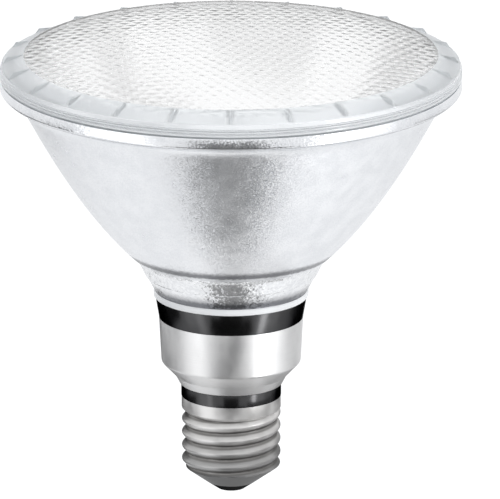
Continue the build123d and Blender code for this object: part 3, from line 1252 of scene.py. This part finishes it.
@dataclass
class ScrewCap:
    """Rolled screw shell with its coned end, the insulator at the tip and the contact rivet."""

    cone: Point = (6.6, 2.4)
    thread_z: float = 7.2
    root_r: float = 11.95
    valley_r: float = 11.75
    crest_r: float = 13.05
    fullness: float = 0.8
    pitch: float = 25.4 / 7
    helix_z: float = 7.2 - 0.4 - 25.4 / 7
    ramp_z: float = 21.8
    collar_z: float = 22.9
    collar_r: float = 13.1
    top_z: float = 26.1
    collar_bore: float = 12.7
    shoulder_z: float = 23.5
    bore: float = 11.55
    cone_floor_z: float = 2.897
    row_mm: float = 0.16
    slack: float = 0.01
    segments: int = 256
    plate: PlatedShell = PlatedShell()
    tip: Moulding = Moulding(
        "black_insulator", (0.022, 0.022, 0.022, 1.0), (0.014, 0.014, 0.014, 1.0), 0.5, 0.0
    )
    rivet: SpunMetal = SpunMetal("contact_metal", *BRASS, 0.35)

    def build(self) -> list[str]:
        """Models the shell and dresses the tip.

        Returns:
            Names of the dressed pieces.
        """
        rows = math.ceil((self.top_z - self.cone[1]) / self.row_mm)
        heights = [self.cone[1] + (self.top_z - self.cone[1]) * i / rows for i in range(rows + 1)]
        section = Section().through((self._core_r(z), z) for z in heights)
        slope = (self.thread_z - self.cone[1]) / (self.collar_r - self.cone[0])
        section.to(self.collar_bore, self.top_z).to(self.collar_bore, self.shoulder_z)
        section.to(self.bore, self.shoulder_z)
        section.to(self.bore, self.cone_floor_z + (self.bore - self.cone[0]) * slope)
        section.to(self.cone[0], self.cone_floor_z)
        bm = bmesh.new()
        turn_section(bm, section.outline(), self.segments, closed=True)
        for v in bm.verts:
            r, z = v.co.xy.length / MM, v.co.z / MM
            if abs(r - self._core_r(z)) < self.slack and z < self.top_z - self.slack:
                wanted = self._wall_r(math.atan2(v.co.y, v.co.x), z)
                v.co.xy = v.co.xy * (wanted / r)
        material = self.plate.material()
        piece = finish_piece(bm, "screw_shell_cap", "plated_shell", "screw_shell", material)
        tip = dress_nodes(self.tip, "base_insulator")
        return [piece, *tip, *dress_nodes(self.rivet, "centre_contact")]

    def _cone_r(self, z: float) -> float:
        """Radius of the coned end at a height."""
        share = (z - self.cone[1]) / (self.thread_z - self.cone[1])
        return self.cone[0] + (self.collar_r - self.cone[0]) * share

    def _core_r(self, z: float) -> float:
        """Radius of the shell without its thread.

        Args:
            z: Height up the axis.

        Returns:
            Radius in millimetres.
        """
        if z < self.ramp_z:
            return min(self._cone_r(z), self.root_r)
        rise = min(1.0, (z - self.ramp_z) / (self.collar_z - self.ramp_z))
        return self.root_r + (self.collar_r - self.root_r) * rise

    def _wall_r(self, turn: float, z: float) -> float:
        """Radius of the threaded wall.

        Args:
            turn: Angle round the axis.
            z: Height up the axis.

        Returns:
            Radius in millimetres.
        """
        swell = 0.5 + 0.5 * math.cos(math.tau * (z - self.helix_z) / self.pitch - turn)
        wave = self.valley_r + (self.crest_r - self.valley_r) * swell**self.fullness
        if z < self.thread_z:
            return min(self._cone_r(z), wave)
        return max(self._core_r(z), wave) if z > self.ramp_z else wave


@dataclass
class Burner:
    """Halogen capsule with its filament, legs and wiring, carried over from the frame."""

    quartz: PressedGlass = PressedGlass(
        "quartz", (0.97, 0.98, 0.985, 1.0), 0.0, ior=1.46, wave_mm=3.0, wave_depth_mm=0.02
    )
    tungsten: SpunMetal = SpunMetal(
        "tungsten", (0.36, 0.36, 0.38, 1.0), (0.24, 0.24, 0.26, 1.0), 0.4
    )
    wire: SpunMetal = SpunMetal(
        "bright_wire", (0.68, 0.68, 0.69, 1.0), (0.52, 0.52, 0.53, 1.0), 0.3
    )
    ferrule: SpunMetal = SpunMetal("ferrule_brass", *BRASS, 0.3)
    sleeve: WovenSleeve = WovenSleeve()

    def build(self) -> list[str]:
        """Gives every inner node its finish.

        Returns:
            Names of the nodes.
        """
        sides = ("left", "right")
        wires = [f"{part}_{side}" for part in ("foil", "pin", "leg") for side in sides]
        names = dress_nodes(self.quartz, "capsule")
        names += dress_nodes(self.tungsten, "filament", *(f"filament_lead_{side}" for side in sides))
        names += dress_nodes(self.wire, *wires, "live_lead", "return_lead")
        names += dress_nodes(self.ferrule, *(f"ferrule_{side}" for side in sides))
        return names + dress_nodes(self.sleeve, "lead_sleeve")


@dataclass(frozen=True)
class Panel:
    """Upright panel that faces the axis, in degrees and metres: a soft light, a flag or a gobo.

    A flag only shows in reflections, and a gobo only through the lens.
    """

    name: str
    turn: float
    distance: float
    height: float
    width: float
    tall: float
    radiance: float

    def place(self) -> Matrix:
        """Works out where the panel stands.

        Returns:
            Its place, facing the axis along its own -Z.
        """
        turn = math.radians(self.turn)
        spot = Vector((self.distance * math.sin(turn), -self.distance * math.cos(turn), self.height))
        facing = Vector((-spot.x, -spot.y, 0.0)).to_track_quat("-Z", "Y")
        return Matrix.Translation(spot) @ facing.to_matrix().to_4x4()


@dataclass(frozen=True)
class Board:
    """Board that only shows in reflections or only through the lens, in metres.

    Each of its two edges is given by half its length, its place along Y and its height.
    """

    name: str
    near: Point3
    far: Point3
    radiance: float
    through_glass: bool = False


@dataclass
class Studio:
    """Pale floor, white surround, soft lights, cards for the reflections and the camera."""

    aim: Vector = field(default_factory=lambda: Vector((0.0, 0.0, 0.062)))
    side_shift: float = 0.00497
    up_shift: float = 0.00366
    elevation: float = math.radians(16.5)
    distance: float = 2.4
    focal_mm: float = 656.7
    sensor_mm: float = 36.0
    clip: Point = (0.01, 100.0)
    bounces: int = 40
    glossy_bounces: int = 32
    floor_z: float = -0.6
    floor_r: float = 14.0
    floor_facets: int = 96
    floor_tone: float = 0.35
    floor_glow: float = 0.8
    floor_glow_mirrored: float = 0.6
    dullness: float = 0.9
    fill_tint: Colour = (0.95, 0.97, 1.0, 1.0)
    fill: float = 0.95
    top_z: float = 1.2
    top_y: float = 0.15
    top_size: float = 1.0
    top_radiance: float = 0.45
    lights: tuple[Panel, ...] = (
        Panel("left_wide", -62.0, 0.95, -0.1, 0.5, 1.0, 0.5),
        Panel("left_core", -49.0, 0.7, -0.15, 0.15, 0.9, 0.8),
        Panel("right_wide", 64.0, 0.95, -0.1, 0.6, 1.0, 0.55),
        Panel("right_core", 53.0, 0.7, -0.15, 0.12, 0.9, 5.2),
    )
    flags: tuple[Panel, ...] = (
        Panel("left_flag", -117.0, 1.0, -0.41, 1.1, 0.28, 0.06),
        Panel("thread_flag", 58.0, 0.03, -0.02, 0.032, 0.082, 0.35),
        Panel("skirt_flag", -140.0, 0.028, 0.02, 0.028, 0.05, 0.1),
        Panel("edge_flag", 130.0, 0.028, 0.004, 0.028, 0.04, 0.3),
        Panel("right_flag", 125.0, 1.0, -0.35, 0.7, 0.22, 0.45),
    )
    gobos: tuple[Panel, ...] = (
        Panel("left_gobo", -116.0, 1.5, 0.45, 1.0, 0.7, 0.4),
        Panel("front_gobo", -20.0, 1.5, 1.2, 2.1, 0.6, 0.68),
        Panel("high_gobo_low", 84.0, 1.5, 1.61, 0.64, 0.8, 0.4),
        Panel("high_gobo_mid", 62.0, 1.5, 1.87, 0.62, 0.8, 0.4),
        Panel("high_gobo_top", 43.0, 1.5, 2.1, 0.46, 0.8, 0.4),
        Panel("right_gobo", 79.0, 1.5, 0.89, 0.7, 0.3, 0.6),
    )
    boards: tuple[Board, ...] = (
        Board("overhead", (0.7, 0.7, 1.15), (0.7, -0.7, 1.15), 0.7, True),
        Board("under_card", (0.08, 0.08, -0.15), (0.06, -0.006, -0.15), 1.25),
        Board("near_runner", (0.03, -0.01, -0.15), (0.13, -0.22, -0.18), 0.27),
        Board("mid_runner", (0.17, -0.22, -0.18), (0.3, -0.5, -0.22), 0.04),
        Board("far_runner", (0.16, -0.5, -0.22), (1.0, -3.2, -0.52), 0.1),
    )

    def build(self) -> list[str]:
        """Sets the stage round the bulb.

        Returns:
            Names of the lights and cards.
        """
        self._camera()
        self._floor()
        self._world()
        overhead = Matrix.Translation((0.0, self.top_y, self.top_z))
        self._light("top_box", overhead, self.top_size, self.top_size, self.top_radiance)
        for light in self.lights:
            self._light(light.name, light.place(), light.width, light.tall, light.radiance)
        for flag in self.flags:
            self._flag(flag, through_glass=False)
        for gobo in self.gobos:
            self._flag(gobo, through_glass=True)
        for board in self.boards:
            self._board(board)
        scene = bpy.context.scene
        scene.view_settings.view_transform = "Standard"
        scene.cycles.max_bounces = scene.cycles.transmission_bounces = self.bounces
        scene.cycles.glossy_bounces = self.glossy_bounces
        return [item.name for item in self.lights + self.flags + self.gobos + self.boards]

    def _camera(self) -> None:
        """Puts the camera at the photograph's viewing angle."""
        data = bpy.data.cameras.new("camera")
        data.lens, data.sensor_width = self.focal_mm, self.sensor_mm
        data.clip_start, data.clip_end = self.clip
        camera = bpy.data.objects.new("camera", data)
        back = Vector((0.0, -math.cos(self.elevation), math.sin(self.elevation)))
        up = Vector((0.0, math.sin(self.elevation), math.cos(self.elevation)))
        target = self.aim + Vector((self.side_shift, 0.0, 0.0)) + up * self.up_shift
        camera.location = target + back * self.distance
        camera.rotation_euler = (-back).to_track_quat("-Z", "Y").to_euler()
        bpy.context.scene.collection.objects.link(camera)
        bpy.context.scene.camera = camera

    @staticmethod
    def _backdrop(tree: bpy.types.NodeTree, straight: float, mirrored: float) -> Socket:
        """Strength of the white surround for camera rays and for glossy and transmission rays.

        Args:
            tree: Node tree to add to.
            straight: Strength for the camera.
            mirrored: Strength in reflections and through glass.

        Returns:
            A socket that is nil for all other rays.
        """
        path = tree.nodes.new("ShaderNodeLightPath")
        seen = None
        for kind, strength in (
            ("Is Camera Ray", straight),
            ("Is Glossy Ray", mirrored),
            ("Is Transmission Ray", mirrored),
        ):
            share = tree.nodes.new("ShaderNodeMath")
            share.operation = "MULTIPLY"
            share.inputs[1].default_value = strength
            tree.links.new(path.outputs[kind], share.inputs[0])
            if seen is None:
                seen = share.outputs[0]
                continue
            either = tree.nodes.new("ShaderNodeMath")
            either.operation = "MAXIMUM"
            tree.links.new(seen, either.inputs[0])
            tree.links.new(share.outputs[0], either.inputs[1])
            seen = either.outputs[0]
        return seen

    def _prop(self, bm: Shape, name: str, tone: float) -> tuple[Piece, Node]:
        """Makes a dull piece of the stage that can glow.

        Args:
            bm: Its shape, which is freed.
            name: Its name.
            tone: How pale it is, from 0 to 1.

        Returns:
            The piece and its shader.
        """
        mesh = bpy.data.meshes.new(name)
        bm.to_mesh(mesh)
        bm.free()
        piece = bpy.data.objects.new(name, mesh)
        bpy.context.scene.collection.objects.link(piece)
        material = bpy.data.materials.new(name)
        material.use_nodes = True
        mesh.materials.append(material)
        shader = material.node_tree.nodes["Principled BSDF"]
        for socket, value in (
            ("Base Color", (tone, tone, tone, 1.0)),
            ("Roughness", self.dullness),
            ("Specular IOR Level", 0.0),
            ("Emission Color", WHITE),
        ):
            shader.inputs[socket].default_value = value
        return piece, shader

    def _floor(self) -> None:
        """Lays a pale floor that looks white to the camera."""
        bm = bmesh.new()
        bmesh.ops.create_circle(bm, cap_ends=True, segments=self.floor_facets, radius=self.floor_r)
        bmesh.ops.translate(bm, verts=bm.verts, vec=(0, 0, self.floor_z))
        floor, shader = self._prop(bm, "floor", self.floor_tone)
        tree = shader.id_data
        glow = self._backdrop(tree, self.floor_glow, self.floor_glow_mirrored)
        tree.links.new(glow, shader.inputs["Emission Strength"])

    def _world(self) -> None:
        """Makes the white surround and its dimmer fill light."""
        world = bpy.data.worlds.new("surround")
        bpy.context.scene.world = world
        world.use_nodes = True
        tree = world.node_tree
        fill = tree.nodes["Background"]
        white = tree.nodes.new("ShaderNodeBackground")
        for node, colour, strength in ((fill, self.fill_tint, self.fill), (white, WHITE, 1.0)):
            node.inputs["Color"].default_value = colour
            node.inputs["Strength"].default_value = strength
        either = tree.nodes.new("ShaderNodeMixShader")
        tree.links.new(self._backdrop(tree, 1.0, 1.0), either.inputs[0])
        tree.links.new(fill.outputs[0], either.inputs[1])
        tree.links.new(white.outputs[0], either.inputs[2])
        tree.links.new(either.outputs[0], tree.nodes["World Output"].inputs["Surface"])

    @staticmethod
    def _light(name: str, place: Matrix, width: float, tall: float, radiance: float) -> None:
        """Hangs one soft light.

        Args:
            name: Its name.
            place: Where it stands.
            width: Its width.
            tall: Its other side.
            radiance: How bright its face looks.
        """
        data = bpy.data.lights.new(name, "AREA")
        data.shape, data.size, data.size_y = "RECTANGLE", width, tall
        data.energy = radiance * math.pi * width * tall
        lamp = bpy.data.objects.new(name, data)
        lamp.matrix_world = place
        lamp.visible_camera = False
        bpy.context.scene.collection.objects.link(lamp)

    def _flag(self, flag: Panel, through_glass: bool) -> None:
        """Sets one upright flag or gobo.

        Args:
            flag: The panel.
            through_glass: Whether it shows through the lens, in place of in reflections.
        """
        bm = bmesh.new()
        bmesh.ops.create_grid(bm, x_segments=1, y_segments=1, size=0.5)
        bmesh.ops.scale(bm, verts=bm.verts, vec=(flag.width, flag.tall, 1.0))
        bmesh.ops.transform(bm, verts=bm.verts, matrix=flag.place())
        self._card(bm, flag.name, flag.radiance, through_glass)

    def _board(self, board: Board) -> None:
        """Sets one board.

        Args:
            board: The board.
        """
        bm = bmesh.new()
        bmesh.ops.create_grid(bm, x_segments=1, y_segments=1, size=1.0)
        for v in bm.verts:
            half, y, z = board.near if v.co.y > 0 else board.far
            v.co = Vector((v.co.x * half, y, z))
        self._card(bm, board.name, board.radiance, board.through_glass)

    def _card(self, bm: Shape, name: str, radiance: float, through_glass: bool) -> None:
        """Makes a card of the stage that only shows in reflections or only through the lens.

        Args:
            bm: Its shape, which is freed.
            name: Its name.
            radiance: How bright it looks, where 1 is white.
            through_glass: Whether it shows through the lens, in place of in reflections.
        """
        piece, shader = self._prop(bm, name, 0.0)
        shader.inputs["Emission Strength"].default_value = radiance
        piece.visible_camera = piece.visible_shadow = piece.visible_diffuse = False
        piece.visible_transmission = through_glass
        piece.visible_glossy = not through_glass


def main() -> None:
    """Builds the bulb piece by piece and sets the studio round it."""
    logging.basicConfig(level=logging.INFO, format="%(message)s")
    makers: dict[str, Callable[[], list[str]]] = {
        "lens": Lens().build,
        "bowl": Bowl().build,
        "collars": Collars().build,
        "skirt": Skirt().build,
        "screw cap": ScrewCap().build,
        "burner": Burner().build,
        "studio": Studio().build,
    }
    for label, make in makers.items():
        log.info("%s: %s", label, ", ".join(make()))


if __name__ == "__main__":
    main()
